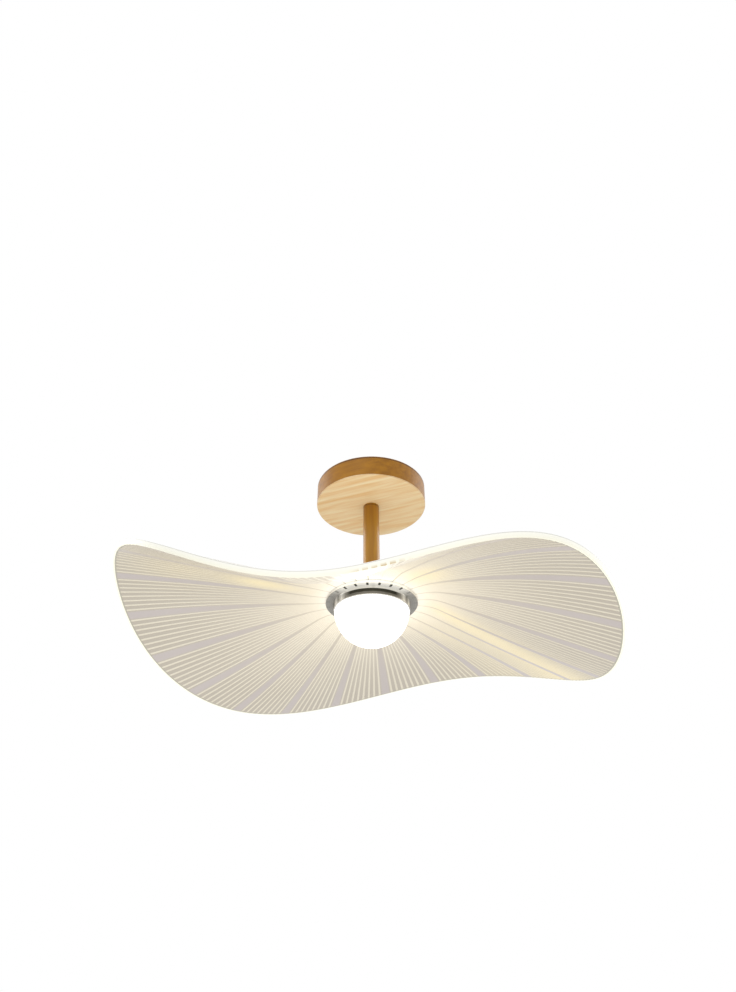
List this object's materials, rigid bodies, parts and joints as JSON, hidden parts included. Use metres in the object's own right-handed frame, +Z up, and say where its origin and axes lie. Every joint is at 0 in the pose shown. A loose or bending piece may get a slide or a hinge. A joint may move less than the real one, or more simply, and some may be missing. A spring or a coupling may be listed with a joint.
{
  "type": "semi-flush ceiling light",
  "caption": "Semi-flush ceiling light with a wood canopy and stem, a wavy engraved acrylic light-guide shade, a brushed nickel ring and an opal dome.",
  "frame": {"origin": "centre of the canopy on the ceiling plane, midway between the two ceiling screws", "axes": "+Z up into the ceiling, +X along the ceiling bracket, -Y towards the side that the picture looks from"},
  "size_m": [0.4927, 0.4845, 0.2384],
  "materials": {
    "canopy_wood": "satin lacquered light wood",
    "stem_wood": "satin lacquered brown wood",
    "zinc_steel": "zinc plated",
    "nickel": "brushed nickel",
    "brass": "plain brass",
    "drum_aluminium": "turned",
    "acrylic": "clear cast acrylic, engraved",
    "opal": "opal, satin",
    "silicone": "soft, translucent white",
    "polyamide": "moulded",
    "driver_plastic": "moulded",
    "circuit_board": "solder mask",
    "white_board": "white solder mask",
    "emitter": "yellow phosphor",
    "brown_lead": "extruded",
    "blue_lead": "extruded",
    "earth_lead": "extruded, green and yellow",
    "red_lead": "extruded",
    "black_lead": "extruded"
  },
  "bodies": {
    "light": {"canopy": "canopy_wood", "ceiling_bracket": "zinc_steel", "canopy_screws": "zinc_steel", "earth_terminal": "brass", "terminal_block": "polyamide", "terminal_clamps": "brass", "driver_case": "driver_plastic", "driver_lid": "driver_plastic", "driver_board": "circuit_board", "floor_screws": "zinc_steel", "spreader_washer": "zinc_steel", "lock_washers": "zinc_steel", "tube_nuts": "zinc_steel", "threaded_tube": "zinc_steel", "stem": "stem_wood", "hub_cap": "canopy_wood", "drum": "drum_aluminium", "light_strip": "emitter", "upper_gasket": "silicone", "lower_gasket": "silicone", "shade": "acrylic", "clamp_ring": "nickel", "ring_screws": "zinc_steel", "dome_board": "white_board", "dome_emitters": "emitter", "board_screws": "zinc_steel", "lead_live": "brown_lead", "lead_neutral": "blue_lead", "lead_earth": "earth_lead", "lead_plus": "red_lead", "lead_minus": "black_lead", "strip_leads": "red_lead"},
    "dome": {"dome": "opal"}
  },
  "joints": [
    {"name": "dome_twist", "type": "hinge", "parent": "light", "child": "dome", "pos_m": [0, 0, -0.153], "axis": [0, 0, -1], "range_deg": [0, 25]}
  ]
}
